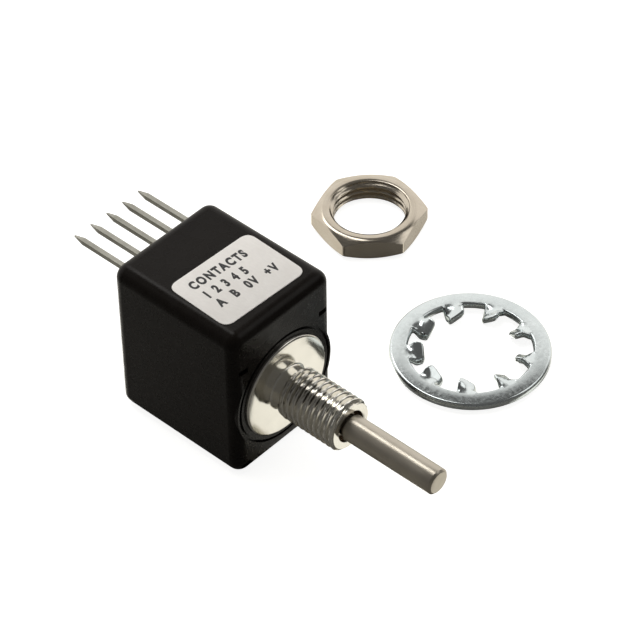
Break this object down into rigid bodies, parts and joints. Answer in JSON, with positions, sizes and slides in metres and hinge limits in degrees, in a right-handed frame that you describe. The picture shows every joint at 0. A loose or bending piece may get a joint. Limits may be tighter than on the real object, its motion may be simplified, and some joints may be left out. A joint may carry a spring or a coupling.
{
  "type": "rotary encoder",
  "caption": "Panel-mount optical rotary encoder: black box housing, threaded bushing, round shaft, a row of terminal pins, with its hex nut and toothed lock washer lying beside it.",
  "frame": {"origin": "centre of the mounting face, where the threaded barrel leaves the bushing's flange, on the shaft's axis", "axes": "-Y along the shaft away from the housing, +Y along the terminal pins, +Z out of the labelled side"},
  "size_m": [0.0485, 0.0498, 0.0211],
  "materials": {
    "housing_black": "satin moulded black plastic",
    "bushing_aluminium": "bright turned aluminium",
    "bearing_bronze": "oil-filled sintered bronze",
    "shaft_steel": "ground stainless steel",
    "slip_plastic": "white low-friction plastic",
    "spring_steel": "spring steel",
    "hub_aluminium": "turned aluminium",
    "disc_steel": "etched thin steel",
    "inner_plastic": "black moulded plastic",
    "emitter_clear": "tinted clear moulded lens",
    "chip_case": "moulded chip case",
    "board_green": "glass-fibre board with green mask",
    "ceramic_tan": "ceramic chip part",
    "pin_tin": "matte tin plating",
    "label_white": "off-white printed film",
    "nut_nickel": "nickel-plated brass",
    "washer_zinc": "bright zinc plating"
  },
  "bodies": {
    "housing": {"front_housing": "housing_black", "rear_cover": "housing_black", "label": "label_white", "mounting_bushing": "bushing_aluminium", "front_bearing": "bearing_bronze", "rear_bearing": "bearing_bronze", "emitter": "emitter_clear", "emitter_holder": "inner_plastic", "mask_plate": "disc_steel", "detector": "chip_case", "circuit_board": "board_green", "comparator_chip": "chip_case", "decoupling_capacitor": "ceramic_tan", "chip_resistors": "chip_case", "pin_header": "inner_plastic", "terminal_pin_1": "pin_tin", "terminal_pin_2": "pin_tin", "terminal_pin_3": "pin_tin", "terminal_pin_4": "pin_tin", "terminal_pin_5": "pin_tin"},
    "rotor": {"shaft": "shaft_steel", "thrust_washer": "slip_plastic", "disc_spring": "spring_steel", "retaining_ring": "spring_steel", "disc_hub": "hub_aluminium", "code_disc": "disc_steel", "disc_clamp_ring": "hub_aluminium"},
    "nut": {"hex_nut": "nut_nickel"},
    "washer": {"lock_washer": "washer_zinc"}
  },
  "joints": [
    {"name": "shaft_spin", "type": "hinge", "parent": "housing", "child": "rotor", "pos_m": [0, 0, 0], "axis": [0, -1, 0], "continuous": true},
    {"name": "nut_lift", "type": "slide", "parent": "housing", "child": "nut", "axis": [0, 0, 1], "range_m": [0, 0.03]},
    {"name": "washer_lift", "type": "slide", "parent": "housing", "child": "washer", "axis": [0, 0, 1], "range_m": [0, 0.03]}
  ]
}
